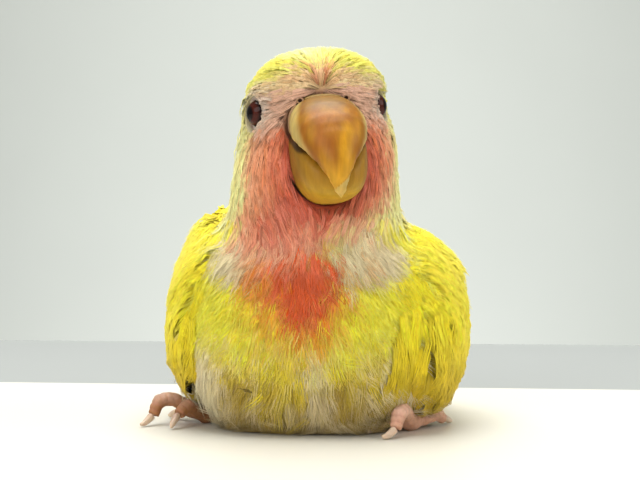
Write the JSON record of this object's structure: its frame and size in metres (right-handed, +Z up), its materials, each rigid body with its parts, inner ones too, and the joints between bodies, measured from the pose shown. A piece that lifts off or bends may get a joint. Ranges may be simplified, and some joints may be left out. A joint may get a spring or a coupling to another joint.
{
  "type": "peach-faced lovebird model",
  "caption": "Life-size still model of a yellow peach-faced lovebird fledgling sitting on its belly, head turned a little, wings folded and feet splayed to the sides.",
  "frame": {"origin": "on the floor, in the middle of the bird's length and width", "axes": "+Z up, -Y the way the breast faces, +X the bird's left side"},
  "size_m": [0.0588, 0.103, 0.068],
  "materials": {
    "plumage_yellow": "soft matt feathers, yellow with an orange chest patch and cream down",
    "plumage_peach": "soft matt feathers, salmon face and bib under a yellow crown",
    "flight_feather": "smooth satin vanes, yellow with paler tips",
    "bill": "semi-gloss horn, amber with a paler tip",
    "cere": "matt bare skin",
    "eye": "wet gloss, dark red-brown",
    "foot_skin": "finely scaled pink skin",
    "claw": "pale translucent horn"
  },
  "bodies": {
    "root": {"torso": "plumage_yellow", "neck": "plumage_peach", "head": "plumage_peach", "wing_left": "flight_feather", "wing_right": "flight_feather", "tail": "flight_feather", "thigh_left": "plumage_yellow", "thigh_right": "plumage_yellow", "tarsus_left": "foot_skin", "tarsus_right": "foot_skin", "foot_left": "foot_skin", "foot_right": "foot_skin", "claw_left_1": "claw", "claw_left_2": "claw", "claw_left_3": "claw", "claw_left_4": "claw", "claw_right_1": "claw", "claw_right_2": "claw", "claw_right_3": "claw", "claw_right_4": "claw", "eye_left": "eye", "eye_right": "eye", "bill_upper": "bill", "bill_lower": "bill", "cere": "cere"}
  },
  "joints": []
}
